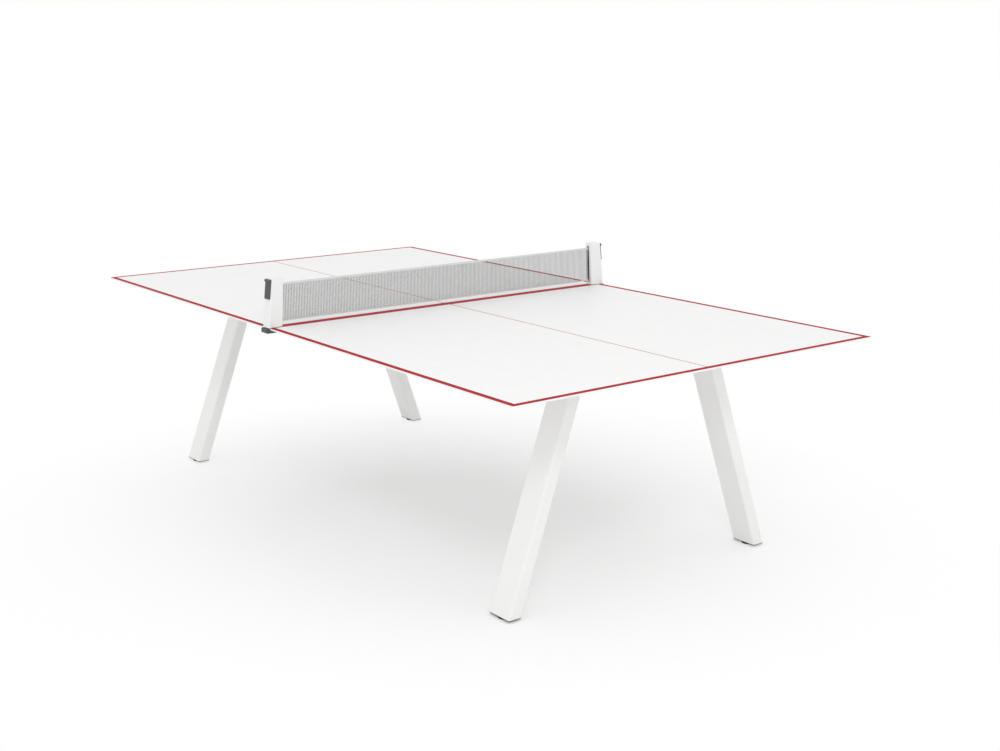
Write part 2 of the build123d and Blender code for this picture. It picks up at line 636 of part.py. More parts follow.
def main():
    os.makedirs("parts", exist_ok=True)
    pieces = {}
    for half, way in (("near", 1), ("far", -1)):
        lines = line_layer(way)
        pieces[f"top_{half}"] = top_half(way, lines)
        pieces[f"lines_{half}"] = lines
    pieces["top_screws"] = top_screws()
    for name, x in BEAM_X.items():
        pieces[f"cross_beam_{name}"] = cross_beam(x)
    for name, side in SIDES.items():
        pieces[f"side_rail_{name}"] = side_rail(side)
    pieces["beam_end_caps"] = beam_end_caps()
    pieces["rail_end_caps"] = rail_end_caps()
    pieces["plate_bolts"] = plate_bolts()
    for name, (way, side) in CORNERS.items():
        pieces[f"leg_plate_{name}"] = leg_plate(way, side)
        pieces[f"leg_{name}"] = leg(way, side)
        pieces[f"leg_plug_{name}"] = leg_plug(way, side)
        pieces[f"foot_{name}"] = levelling_foot(way, side)
    carriers = {"left": bush_space(), "right": end_bar_space()}
    for name, side in SIDES.items():
        casing = post_casing(carriers[name], -side)
        post = {
            "shell_front": casing & half_space(side),
            "shell_back": casing & half_space(-side),
            "shell_screws": shell_screws(-side),
            "post_pad": post_pad(),
            "clamp_lever": clamp_lever(),
            "clamp_jaw": clamp_jaw(),
            "jaw_pad": jaw_pad(),
            "clamp_spring": clamp_spring(),
        }
        for piece, shape in post.items():
            pieces[f"{piece}_{name}"] = on_table(shape, side)
    pieces["net_roller"] = on_table(net_roller(), SIDES["left"])
    pieces["roller_bushes"] = on_table(roller_bushes(), SIDES["left"])
    pieces["net_end_bar"] = on_table(end_bar(), SIDES["right"])
    pieces["net_mesh"] = net_mesh()
    pieces["net_tape"] = edge_binding(NET_TOP, NET_TOP - TAPE_HEIGHT)
    pieces["net_hem"] = edge_binding(NET_BOTTOM, NET_BOTTOM + HEM_HEIGHT)
    for name, shape in pieces.items():
        export_step(shape, f"parts/{name}.step")


main()
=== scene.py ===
import json
import math

import bmesh
import bpy
from bpy.props import FloatProperty, FloatVectorProperty, IntProperty, PointerProperty
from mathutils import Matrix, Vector


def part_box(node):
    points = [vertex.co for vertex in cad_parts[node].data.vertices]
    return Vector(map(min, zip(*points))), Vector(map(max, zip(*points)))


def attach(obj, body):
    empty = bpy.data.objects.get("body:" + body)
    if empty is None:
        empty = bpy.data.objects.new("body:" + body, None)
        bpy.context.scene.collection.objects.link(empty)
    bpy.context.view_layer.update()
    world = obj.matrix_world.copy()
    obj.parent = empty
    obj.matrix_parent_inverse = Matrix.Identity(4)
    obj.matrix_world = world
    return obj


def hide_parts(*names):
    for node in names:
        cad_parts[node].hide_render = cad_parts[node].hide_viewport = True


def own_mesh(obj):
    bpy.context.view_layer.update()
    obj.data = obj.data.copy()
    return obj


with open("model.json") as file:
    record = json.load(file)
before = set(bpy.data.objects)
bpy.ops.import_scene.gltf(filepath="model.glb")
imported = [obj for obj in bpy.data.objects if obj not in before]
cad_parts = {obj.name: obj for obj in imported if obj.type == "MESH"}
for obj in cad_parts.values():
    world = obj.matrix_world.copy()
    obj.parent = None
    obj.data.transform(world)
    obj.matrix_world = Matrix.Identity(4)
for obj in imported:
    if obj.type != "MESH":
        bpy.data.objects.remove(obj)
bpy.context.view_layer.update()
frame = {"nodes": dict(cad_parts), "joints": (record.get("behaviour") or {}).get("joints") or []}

bl_info = {
    "name": "Ping Pong Table",
    "version": (1, 0, 0),
    "blender": (4, 5, 0),
    "location": "View3D > Sidebar > Table",
    "description": "Finishes, net, fasteners and studio for the ping pong table",
    "category": "Object",
}

CORNERS = ("near_left", "near_right", "far_left", "far_right")
SIDES = ("left", "right")
HALVES = ("near", "far")
BEAMS = ("near_end", "near_mid", "seam", "far_mid", "far_end")

# Directions: along the table is also through the net
X_AXIS, Z_AXIS = 0, 2
ALONG_TABLE = Vector((1.0, 0.0, 0.0))
ALONG_NET = Vector((0.0, 1.0, 0.0))
UP = Vector((0.0, 0.0, 1.0))

# Fineness of heads and spring turns, of spring wire and of the net's bands
ROUND = 24
WIRE_ROUND = 8
BAND_STEPS = 96

# Rounding of sharp edges, and how near two points count as one
SHARP_ANGLE = math.radians(40.0)
EDGE_SEGMENTS = 2
WELD_DISTANCE = 0.00001
ISLAND_DISTANCE = 0.00002

# Bands of noise or of slope that the surface effects are drawn from
DRIFT_SCALE = 0.012
DRIFT_BAND = (0.3, 0.7)
SMUDGE_BAND = (0.42, 0.72)
RUB_TURN = (0.5, 0.3, 0.9)
RUB_STRETCH = (1.0, 26.0, 26.0)
RUB_BAND = (0.70, 0.76)
EDGE_BAND = (0.03, 0.22)
WEAR_BAND = (0.38, 0.66)
# Band of the weave's height whose low parts take painted shade, in the hollows between threads
HOLLOW_SHADE_BAND = (0.55, 0.1)

# How strongly the effects show in a finish
BUMP_DISTANCE = 0.0003
# Painted shade in the weave's hollows: how much of it shows, and how dark it makes the colour
HOLLOW_SHADE_SHARE = 0.45
HOLLOW_SHADE_TONE = 0.55
YARN_GRAIN = 0.3
WEAR_SHARE = 0.6

# Turned head: its height as a share of its radius, and at most a share of the whole screw
HEAD_HEIGHT = 0.672
HEAD_LIMIT = 0.45

# Rings of the head in shares of its radius and height, and of its recess in shares of the reach and height
HEAD_PROFILE = ((0.76, 0.0), (0.90, 0.10), (0.985, 0.34), (1.0, 0.62), (1.0, 0.96), (0.97, 1.0))
RECESS_FLOOR = 0.55
RECESS_RIM = ((1.0, 0.12), (1.06, 0.03))
CROSS_ARM = 0.26

# Shank under the head: its radius as a share of the head's, its tip and tip height as shares of its own
SHANK = 0.52
SHANK_TIP = 0.7
SHANK_TIP_HEIGHT = 0.3

# One side of a folded band, from its open lip to the fold: shares of its half width and of its height
BAND_SIDE = (
    (0.92, 0.0), (1.0, 0.04), (0.86, 0.22), (0.82, 0.30),
    (0.97, 0.5), (1.0, 0.72), (0.9, 0.88), (0.55, 0.975),
)

# Ripple along a band: its share of the half width, and its turn from step to step
BAND_RIPPLE = 0.03
BAND_RIPPLE_TURN = 2.1

# Seam of a band: its height as a share of the band's, its depth as a share of the half width
SEAM_HEIGHT = 0.26
SEAM_DEPTH = 0.78

# One stitch: share of its length, then how proud it stands and how thick it is, in half widths
STITCH_PROFILE = ((0.0, -0.4, 0.6), (0.2, 0.7, 1.0), (0.8, 0.7, 1.0), (1.0, -0.4, 0.6))
STITCH_FLATNESS = 0.8

# Rise of a closed end turn of a spring, in wires
CLOSED_PITCH = 1.1

# Studio: its white, how fast the wall light falls off with height, and the camera's sensor in mm
WHITE = (1.0, 1.0, 1.0, 1.0)
WALL_FALL = 2.0
SENSOR_WIDTH = 36.0


def colour(name, description, value):
    """A colour setting, as linear light."""
    return FloatVectorProperty(
        name=name, description=description, default=value, subtype="COLOR", size=3, min=0.0, max=1.0
    )


def amount(name, description, value, unit="NONE"):
    """A setting of nothing or more."""
    return FloatProperty(name=name, description=description, default=value, min=0.0, unit=unit)


def length(name, description, value):
    """A length setting in metres."""
    return amount(name, description, value, "LENGTH")


def share(name, description, value):
    """A setting from none to all."""
    return FloatProperty(
        name=name, description=description, default=value, min=0.0, max=1.0, subtype="FACTOR"
    )


def spot(name, description, value):
    """A place in the room, in metres."""
    return FloatVectorProperty(
        name=name, description=description, default=value, subtype="TRANSLATION", unit="LENGTH", size=3
    )


class FinishSettings(bpy.types.PropertyGroup):
    """Colours of the table's finishes"""

    laminate: colour("Laminate", "White playing surface", (0.88, 0.88, 0.875))
    print_red: colour("Printed line", "Red of the printed border and centre lines", (0.40, 0.008, 0.016))
    paint: colour("Frame paint", "Warm white powder coat of legs and underframe", (0.866, 0.861, 0.843))
    post: colour("Net post", "Pale moulded plastic of the post casings", (0.82, 0.83, 0.825))
    clamp: colour("Clamp", "Dark grey plastic of levers and jaws", (0.058, 0.061, 0.065))
    # On the net's end bar this black is partly the bar's plastic and partly painted shade of the post's
    # slot
    plastic: colour("Black plastic", "Feet, plugs, end caps and the net's end bar", (0.010, 0.010, 0.011))
    rubber: colour("Rubber", "Pads under posts and on jaws", (0.03, 0.03, 0.031))
    zinc: colour("Zinc plate", "Screws and bolts", (0.62, 0.63, 0.64))
    spring: colour("Spring steel", "Clamp springs", (0.40, 0.41, 0.42))
    roller: colour("Roller tube", "Drawn aluminium of the net roller", (0.74, 0.75, 0.76))
    bush: colour("Bush", "Plain bearings at the roller ends", (0.76, 0.75, 0.70))
    cord: colour("Net cord", "Grey threads of the net", (0.118, 0.120, 0.118))
    binding: colour("Net binding", "Pale woven tape at the net's edges", (0.70, 0.72, 0.71))
    stitch: colour("Stitching", "Thread that holds the binding", (0.82, 0.83, 0.82))


class EdgeSettings(bpy.types.PropertyGroup):
    """Rounding of the edges that hands and eyes meet"""

    clamp: length("Clamp edge", "Rounding of levers and jaws", 0.0008)
    plate: length("Plate edge", "Rounding of the leg plates", 0.0004)
    pad: length("Pad edge", "Rounding of the rubber pads", 0.0005)


class NetSettings(bpy.types.PropertyGroup):
    """Sizes of the woven net and its binding"""

    column: length("Column", "Distance from one upright thread to the next", 0.0063)
    row: length("Row", "Distance from one level thread to the next", 0.0032)
    thread_width: length("Upright width", "Width of an upright thread", 0.0015)
    level_width: length("Level width", "Width of a level thread", 0.00095)
    thread_depth: length("Thread depth", "Thickness of a thread, front to back", 0.0011)
    sway: share("Sway", "How far a thread sways over and under the others, as a share of its depth", 0.1)
    tape_height: length("Tape height", "Height of the folded tape on top of the net", 0.0082)
    hem_height: length("Hem height", "Height of the folded hem under the net", 0.0050)
    stitch_step: length("Stitch step", "Distance from stitch to stitch", 0.0045)
    stitch_length: length("Stitch length", "Thread that shows in one stitch", 0.0031)
    stitch_width: length("Stitch width", "Width of the sewing thread", 0.0007)


class FastenerSettings(bpy.types.PropertyGroup):
    """Drive recesses of bolts and screws, as shares of the head"""

    socket: share("Hexagon socket", "Width of a bolt's socket", 0.56)
    cross: share("Cross recess", "Reach of a screw's cross recess", 0.62)
    depth: share("Recess depth", "Depth of the recess in the head", 0.6)


class SpringSettings(bpy.types.PropertyGroup):
    """Winding of the clamp springs"""

    wire: length("Spring wire", "Thickness of the wire", 0.0012)
    turns: IntProperty(
        name="Turns", description="Turns from end to end, with the closed turn at each end",
        default=9, min=4,
    )


class StageSettings(bpy.types.PropertyGroup):
    """Camera, floor and light"""

    camera_place: spot("Camera place", "Where the camera stands", (4.262, -3.041, 1.710))
    camera_turn: FloatVectorProperty(
        name="Camera turn", description="How the camera is turned",
        default=(math.radians(80.85), 0.0, math.radians(52.31)), subtype="EULER", unit="ROTATION", size=3,
    )
    lens: FloatProperty(
        name="Lens", description="Focal length on a 36 mm sensor", default=50.66, min=1.0, unit="CAMERA",
    )
    rise: FloatProperty(
        name="Lens shift", description="Upright shift of the lens, as a share of the sensor",
        default=-0.1,
    )
    floor_size: length("Floor", "Side of the floor", 16.0)
    floor_grey: share("Floor tone", "Light that the floor gives back", 0.88)
    floor_lift: share("Floor lift", "White that the floor shows without its shadow", 0.04)
    floor_shade: share("Floor shade", "How strongly the floor shows its shadow", 0.94)
    shadow_place: spot("Shadow place", "Middle of the shadow that the floor keeps", (0.29, -0.235, 0.0))
    floor_near: length("Shadow reach", "How far from its middle the floor keeps the shadow", 0.63)
    floor_far: length("White from", "How far from the shadow's middle the floor is plain white", 1.97)
    sky: share("Room light", "Even light from all around", 0.90)
    horizon: amount("Wall light", "Extra light from low down on all sides", 0.30)
    key: amount("Top light", "Power of the large lamp overhead", 10.0, "POWER")
    key_place: spot("Top lamp place", "Where the overhead lamp hangs", (0.8, 0.2, 4.5))
    key_target: spot("Top lamp target", "Where the overhead lamp points", (0.8, 0.2, 0.0))
    key_size: length("Top lamp size", "Side of the overhead lamp", 10.0)
    front: amount("Front light", "Power of the lamp in front", 36.0, "POWER")
    front_place: spot("Front lamp place", "Where the front lamp stands", (4.36, -2.81, 3.7))
    front_target: spot("Front lamp target", "Where the front lamp points", (0.5, -0.3, 0.4))
    front_size: length("Front lamp size", "Side of the front lamp", 0.9)


def add_node(tree, kind, inputs=None, **settings):
    """Adds a node, with each input set to a value or joined to another node's output."""
    node = tree.nodes.new(kind)
    for key, value in settings.items():
        setattr(node, key, value)
    for key, value in (inputs or {}).items():
        if isinstance(value, bpy.types.NodeSocket):
            tree.links.new(value, node.inputs[key])
        else:
            node.inputs[key].default_value = value
    return node


def maths(tree, operation, *values, clamp=False):
    """One sum on the given values, given back as an output."""
    node = add_node(tree, "ShaderNodeMath", dict(enumerate(values)), operation=operation, use_clamp=clamp)
    return node.outputs[0]


def stretch(tree, value, low, high):
    """Stretches a band of a value to run from none to all, given back as an output."""
    band = {"Value": value, "From Min": low, "From Max": high}
    return add_node(tree, "ShaderNodeMapRange", band).outputs["Result"]


def noise(tree, place, scale, detail, roughness=0.5):
    """Cloudy noise, given back as an output."""
    values = {"Vector": place, "Scale": scale, "Detail": detail, "Roughness": roughness}
    return add_node(tree, "ShaderNodeTexNoise", values).outputs["Fac"]


def mix_colours(tree, factor, first, second):
    """Mixes two colours by a factor, given back as an output."""
    values = {"Factor": factor, "A": first, "B": second}
    return add_node(tree, "ShaderNodeMix", values, data_type="RGBA").outputs["Result"]


def own_place(tree):
    """Where a point lies along its own piece's axes, given back as an output."""
    return add_node(tree, "ShaderNodeTexCoord").outputs["Object"]


def rgba(base, gain=1.0):
    """A colour, lighter or darker by a factor, with full cover."""
    return (*[min(1.0, part * gain) for part in base], 1.0)


def new_group(name, inputs, outputs):
    """An empty shader group with named inputs and outputs, and its two end nodes."""
    tree = bpy.data.node_groups.new(name, "ShaderNodeTree")
    for label, value in inputs.items():
        socket = tree.interface.new_socket(label, in_out="INPUT", socket_type="NodeSocketFloat")
        socket.default_value = value
    for label in outputs:
        tree.interface.new_socket(label, in_out="OUTPUT", socket_type="NodeSocketFloat")
    return tree, tree.nodes.new("NodeGroupInput").outputs, tree.nodes.new("NodeGroupOutput").inputs


def place_group(tree, name, build, values):
    """Places a shader group, which is built once, with its own values, and gives back its outputs."""
    made = bpy.data.node_groups.get(name) or build(name)
    return add_node(tree, "ShaderNodeGroup", values, node_tree=made).outputs


def grain_group(name):
    """Fine surface grain, with a slower drift of tone across it."""
    tree, given, out = new_group(name, {"Scale": 900.0}, ("Height", "Tone"))
    place = own_place(tree)
    fine = noise(tree, place, given["Scale"], detail=3.0, roughness=0.6)
    slow = maths(tree, "MULTIPLY", given["Scale"], DRIFT_SCALE)
    drift = noise(tree, place, slow, detail=4.0, roughness=0.55)
    tree.links.new(fine, out["Height"])
    tree.links.new(stretch(tree, drift, *DRIFT_BAND), out["Tone"])
    return tree


def marks_group(name):
    """Marks of handling: broad smudges and a few hair-fine rubs."""
    tree, given, out = new_group(name, {"Scale": 6.0}, ("Smudge", "Rub"))
    place = own_place(tree)
    broad = noise(tree, place, given["Scale"], detail=5.0)
    tree.links.new(stretch(tree, broad, *SMUDGE_BAND), out["Smudge"])
    turning = {"Vector": place, "Rotation": RUB_TURN, "Scale": RUB_STRETCH}
    turned = add_node(tree, "ShaderNodeMapping", turning).outputs[0]
    lines = noise(tree, turned, given["Scale"], detail=2.0)
    thin = stretch(tree, lines, *RUB_BAND)
    tree.links.new(maths(tree, "MULTIPLY", thin, broad), out["Rub"])
    return tree


def wear_group(name):
    """Wear along edges, broken up so that it comes and goes."""
    tree, given, out = new_group(name, {"Width": 0.001, "Scale": 120.0}, ("Mask",))
    flat = add_node(tree, "ShaderNodeNewGeometry").outputs["Normal"]
    soft = add_node(tree, "ShaderNodeBevel", {"Radius": given["Width"]}, samples=4).outputs[0]
    agree = add_node(tree, "ShaderNodeVectorMath", {0: flat, 1: soft}, operation="DOT_PRODUCT")
    edge = stretch(tree, maths(tree, "SUBTRACT", 1.0, agree.outputs["Value"]), *EDGE_BAND)
    patchy = noise(tree, own_place(tree), given["Scale"], detail=4.0)
    breaks = stretch(tree, patchy, *WEAR_BAND)
    tree.links.new(maths(tree, "MULTIPLY", edge, breaks), out["Mask"])
    return tree


def weave_group(name):
    """Plain weave over the net's own plane, across its length and its height, with a mask of painted shade
    in the hollows between threads.
    """
    tree, given, out = new_group(name, {"Threads": 1400.0}, ("Height", "Hollow"))
    axes = add_node(tree, "ShaderNodeSeparateXYZ", {0: own_place(tree)}).outputs
    along = maths(tree, "MULTIPLY", axes["Y"], given["Threads"])
    across = maths(tree, "MULTIPLY", axes["Z"], given["Threads"])
    warp = maths(tree, "ABSOLUTE", maths(tree, "SINE", maths(tree, "MULTIPLY", along, math.pi)))
    weft = maths(tree, "ABSOLUTE", maths(tree, "SINE", maths(tree, "MULTIPLY", across, math.pi)))
    squares = maths(tree, "ADD", maths(tree, "FLOOR", along), maths(tree, "FLOOR", across))
    over = maths(tree, "PINGPONG", squares, 1.0)
    under = maths(tree, "SUBTRACT", 1.0, over)
    height = maths(tree, "ADD", maths(tree, "MULTIPLY", warp, over), maths(tree, "MULTIPLY", weft, under))
    tree.links.new(height, out["Height"])
    tree.links.new(stretch(tree, height, *HOLLOW_SHADE_BAND), out["Hollow"])
    return tree


def finish(name, base, rough, *, grain, depth, tone, smudge, scale, rub=0.0, metal=0.0, gloss=0.5,
           wear=None, worn=None, woven=None):
    """A material with its grain, drift of tone, handling marks and, where given, edge wear or a weave with
    painted shade in its hollows.
    """
    made = bpy.data.materials.get(name)
    if made:
        return made
    made = bpy.data.materials.new(name)
    made.use_nodes = True
    tree = made.node_tree
    skin = tree.nodes["Principled BSDF"]
    skin.inputs["Metallic"].default_value = metal
    skin.inputs["Specular IOR Level"].default_value = gloss
    fine = place_group(tree, "Fine grain", grain_group, {"Scale": grain})
    marks = place_group(tree, "Handling marks", marks_group, {"Scale": scale})
    shade = mix_colours(tree, fine["Tone"], rgba(base, 1.0 - tone), rgba(base, 1.0 + tone))
    height = fine["Height"]
    # The weave darkens the colour in its hollows between threads: painted shade
    if woven:
        weave = place_group(tree, "Plain weave", weave_group, {"Threads": woven})
        hollow_shade = maths(tree, "MULTIPLY", weave["Hollow"], HOLLOW_SHADE_SHARE)
        shade = mix_colours(tree, hollow_shade, shade, rgba(base, HOLLOW_SHADE_TONE))
        height = maths(tree, "ADD", weave["Height"], maths(tree, "MULTIPLY", height, YARN_GRAIN))
    if wear:
        edges = place_group(tree, "Edge wear", wear_group, {"Width": wear})
        rubbed = maths(tree, "MULTIPLY", edges["Mask"], WEAR_SHARE)
        shade = mix_colours(tree, rubbed, shade, rgba(worn))
    tree.links.new(shade, skin.inputs["Base Color"])
    dull = maths(tree, "MULTIPLY_ADD", marks["Smudge"], smudge, rough)
    if rub:
        dull = maths(tree, "ADD", dull, maths(tree, "MULTIPLY", marks["Rub"], rub), clamp=True)
    tree.links.new(dull, skin.inputs["Roughness"])
    bump = add_node(
        tree, "ShaderNodeBump", {"Height": height, "Strength": depth, "Distance": BUMP_DISTANCE}
    )
    tree.links.new(bump.outputs[0], skin.inputs["Normal"])
    return made


def laminate(colours):
    """Satin white laminate with a fine pressed texture and the faint rubs of play."""
    return finish(
        "White satin laminate", colours.laminate, 0.42, gloss=0.25,
        grain=1500.0, depth=0.06, tone=0.008, smudge=0.07, rub=0.12, scale=3.0,
    )


def line_ink(colours):
    """Printed red, a little duller than the laminate round it."""
    return finish(
        "Printed red line", colours.print_red, 0.55, gloss=0.08,
        grain=1800.0, depth=0.05, tone=0.06, smudge=0.08, rub=0.15, scale=5.0,
    )


def powder_coat(colours):
    """Warm white powder coat with its orange peel."""
    return finish(
        "White powder coat", colours.paint, 0.42,
        grain=420.0, depth=0.16, tone=0.012, smudge=0.06, rub=0.06, scale=5.0,
        wear=0.0012, worn=[part * 0.93 for part in colours.paint],
    )


def post_plastic(colours):
    """Pale moulded plastic with a spark-eroded grain."""
    return finish(
        "Pale moulded plastic", colours.post, 0.46,
        grain=2600.0, depth=0.14, tone=0.012, smudge=0.06, scale=18.0,
        wear=0.0008, worn=[part * 0.95 for part in colours.post],
    )


def clamp_plastic(colours):
    """Dark grey plastic, lighter where thumbs rub its edges."""
    return finish(
        "Dark grey plastic", colours.clamp, 0.48,
        grain=2200.0, depth=0.22, tone=0.08, smudge=0.1, scale=25.0,
        wear=0.0009, worn=(0.26, 0.27, 0.28),
    )


def black_plastic(colours):
    """Dull black plastic of feet, plugs, end caps and the net's end bar; on the end bar its black is also
    painted shade of the post's slot.
    """
    return finish(
        "Black plastic", colours.plastic, 0.52, gloss=0.2,
        grain=1600.0, depth=0.25, tone=0.12, smudge=0.12, scale=20.0,
        wear=0.0008, worn=(0.06, 0.06, 0.06),
    )


def rubber(colours):
    """Black rubber with a dusty bloom."""
    return finish(
        "Black rubber", colours.rubber, 0.80,
        grain=1200.0, depth=0.35, tone=0.2, smudge=0.1, scale=30.0,
        wear=0.0006, worn=(0.09, 0.09, 0.088),
    )


def zinc(colours):
    """Bright zinc plate."""
    return finish(
        "Zinc plate", colours.zinc, 0.30, metal=1.0,
        grain=700.0, depth=0.08, tone=0.08, smudge=0.18, rub=0.1, scale=60.0,
    )


def spring_steel(colours):
    """Oiled spring wire."""
    return finish(
        "Spring wire", colours.spring, 0.28, metal=1.0,
        grain=1400.0, depth=0.12, tone=0.15, smudge=0.2, scale=80.0,
    )


def roller_metal(colours):
    """Drawn aluminium tube."""
    return finish(
        "Drawn aluminium", colours.roller, 0.34, metal=1.0,
        grain=1100.0, depth=0.1, tone=0.05, smudge=0.12, rub=0.15, scale=40.0,
    )


def bush_plastic(colours):
    """Natural bearing plastic."""
    return finish(
        "Bearing plastic", colours.bush, 0.40,
        grain=1500.0, depth=0.1, tone=0.03, smudge=0.08, scale=40.0,
    )


def net_cord(colours):
    """Braided net thread, with painted shade between its strands."""
    return finish(
        "Braided net thread", colours.cord, 0.72, woven=2200.0,
        grain=2400.0, depth=0.5, tone=0.10, smudge=0.08, scale=9.0,
    )


def net_binding(colours):
    """Pale plain-woven tape, with painted shade between its threads."""
    return finish(
        "Woven binding tape", colours.binding, 0.78, woven=1300.0,
        grain=1600.0, depth=0.55, tone=0.05, smudge=0.08, scale=9.0,
    )


def stitch_thread(colours):
    """Sewing thread of the binding."""
    return finish(
        "Sewing thread", colours.stitch, 0.65,
        grain=3000.0, depth=0.4, tone=0.06, smudge=0.05, scale=30.0,
    )


def dress(node, material, edge=0.0):
    """Gives a CAD piece its finish and, where asked, rounds its sharp edges."""
    piece = frame["nodes"][node]
    for slot in piece.material_slots:
        slot.material = material
    if edge:
        weld = piece.modifiers.new("Join faces", "WELD")
        weld.merge_threshold = WELD_DISTANCE
        rounding = piece.modifiers.new("Round edges", "BEVEL")
        rounding.width = edge
        rounding.segments = EDGE_SEGMENTS
        rounding.limit_method = "ANGLE"
        rounding.angle_limit = SHARP_ANGLE
        rounding.harden_normals = True


def corners(node):
    """Lowest and highest corner of a CAD node at rest."""
    return [Vector(corner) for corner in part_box(node)]


def new_piece(name, mesh, body, material, smooth=True):
    """Makes a mesh into a piece that moves with a body and takes the given finish."""
    piece = bpy.data.objects.new(name, mesh)
    bpy.context.scene.collection.objects.link(piece)
    mesh.materials.append(material)
    for face in mesh.polygons:
        face.use_smooth = smooth
    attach(piece, body)
    return piece


def to_mesh(name, bm):
    """Turns a bmesh into a mesh, with its faces turned outward."""
    bmesh.ops.recalc_face_normals(bm, faces=bm.faces)
    mesh = bpy.data.meshes.new(name)
    bm.to_mesh(mesh)
    bm.free()
    return mesh


def skin_rings(bm, rings):
    """Joins rings of points into one closed skin with capped ends."""
    rows = [[bm.verts.new(point) for point in ring] for ring in rings]
    count = len(rows[0])
    for low, high in zip(rows, rows[1:]):
        for i in range(count):
            j = (i + 1) % count
            bm.faces.new((low[i], low[j], high[j], high[i]))
    bm.faces.new(rows[0][::-1])
    bm.faces.new(rows[-1])


def islands(node):
    """Lowest and highest corners of each separate solid in a CAD node, read from its own mesh."""
    bm = bmesh.new()
    bm.from_mesh(frame["nodes"][node].data)
    bmesh.ops.remove_doubles(bm, verts=bm.verts, dist=ISLAND_DISTANCE)
    left = set(bm.verts)
    boxes = []
    while left:
        todo = [left.pop()]
        found = []
        while todo:
            vert = todo.pop()
            found.append(vert.co.copy())
            for edge in vert.link_edges:
                other = edge.other_vert(vert)
                if other in left:
                    left.remove(other)
                    todo.append(other)
        low = Vector([min(point[i] for point in found) for i in range(3)])
        high = Vector([max(point[i] for point in found) for i in range(3)])
        boxes.append((low, high))
    bm.free()
    return sorted(boxes, key=lambda box: [round(part, 4) for part in box[0]])


def circle_reach(angle):
    """Outline of a plain round."""
    return 1.0


def hexagon_reach(angle):
    """Outline of a hexagon of unit reach across its corners."""
    part = (angle + math.pi / 6) % (math.pi / 3) - math.pi / 6
    return math.cos(math.pi / 6) / math.cos(part)


def cross_reach(angle):
    """Outline of a cross of unit reach."""
    part = abs((angle + math.pi / 4) % (math.pi / 2) - math.pi / 4)
    return 1.0 / math.cos(part) if math.tan(part) <= CROSS_ARM else CROSS_ARM / math.sin(part)


def turned_head(bm, low, high, axis, recess, reach, depth):
    """A turned screw between two corners, its head and drive recess at the low end of an axis."""
    others = [i for i in range(3) if i != axis]
    middle = (low + high) / 2
    full = (high[others[0]] - low[others[0]]) / 2
    total = high[axis] - low[axis]
    head = min(HEAD_HEIGHT * full, HEAD_LIMIT * total)
    shank = SHANK * full
    drive = reach * full

    def ring(radius, at, outline=circle_reach):
        points = []
        for i in range(ROUND):
            angle = 2 * math.pi * i / ROUND
            point = middle.copy()
            point[axis] = low[axis] + at
            point[others[0]] += radius * outline(angle) * math.cos(angle)
            point[others[1]] += radius * outline(angle) * math.sin(angle)
            points.append(point)
        return points

    rings = [ring(RECESS_FLOOR * drive, depth * head, recess)]
    rings += [ring(wide * drive, deep * head, recess) for wide, deep in RECESS_RIM]
    rings += [ring(wide * full, deep * head) for wide, deep in HEAD_PROFILE]
    shank_end = total - SHANK_TIP_HEIGHT * shank
    rings += [ring(shank, head), ring(shank, shank_end), ring(SHANK_TIP * shank, total)]
    skin_rings(bm, rings)


def net_thread(bm, points, across, width, depth):
    """One four-sided thread along points, its width along a direction of the net's plane."""
    wide, deep = across * (width / 2), ALONG_TABLE * (depth / 2)
    skin_rings(bm, [[point + wide, point + deep, point - wide, point - deep] for point in points])


def woven_net(low, high, settings):
    """Upright and level threads of the net, each passing over and under the others in turn."""
    bm = bmesh.new()
    columns = max(2, round((high.y - low.y) / settings.column))
    rows = max(2, round((high.z - low.z) / settings.row))
    step_y, step_z = (high.y - low.y) / columns, (high.z - low.z) / rows
    swing = settings.thread_depth * settings.sway

    def crossing(i, j, way):
        x = way * swing if (i + j) % 2 else -way * swing
        return Vector((x, low.y + i * step_y, low.z + j * step_z))

    for i in range(columns + 1):
        points = [crossing(i, j, 1.0) for j in range(rows + 1)]
        net_thread(bm, points, ALONG_NET, settings.thread_width, settings.thread_depth)
    for j in range(rows + 1):
        points = [crossing(i, j, -1.0) for i in range(columns + 1)]
        net_thread(bm, points, UP, settings.level_width, settings.thread_depth)
    return to_mesh("net_weave", bm)


def folded_tape(name, low, high, crest_up):
    """A folded band along the net's edge: a round fold, two pressed sides and open lips."""
    bm = bmesh.new()
    half, tall = (high.x - low.x) / 2, high.z - low.z
    turn = 1.0 if crest_up else -1.0
    foot = low.z if crest_up else high.z
    section = [*[(-u, v) for u, v in BAND_SIDE], (0.0, 1.0), *reversed(BAND_SIDE)]
    rings = []
    for i in range(BAND_STEPS + 1):
        y = low.y + (high.y - low.y) * i / BAND_STEPS
        puff = 1.0 + BAND_RIPPLE * (math.sin(BAND_RIPPLE_TURN * i) - 1.0)
        rings.append([Vector((u * half * puff, y, foot + turn * v * tall)) for u, v in section])
    skin_rings(bm, rings)
    return to_mesh(name, bm)


def stitch_row(bm, y_low, y_high, x, z, settings):
    """A row of stitches, each a small raised loop of thread that dips at both ends."""
    side = 1.0 if x > 0 else -1.0
    count = int((y_high - y_low) / settings.stitch_step)
    half = settings.stitch_width / 2
    for i in range(count):
        start = y_low + (i + 0.5) * settings.stitch_step - settings.stitch_length / 2
        rings = []
        for part, proud, slim in STITCH_PROFILE:
            centre = Vector((x + side * proud * half, start + part * settings.stitch_length, z))
            rise, wide = ALONG_TABLE * (half * slim * STITCH_FLATNESS), UP * (half * slim)
            rings.append([centre + rise, centre + wide, centre - rise, centre - wide])
        skin_rings(bm, rings)


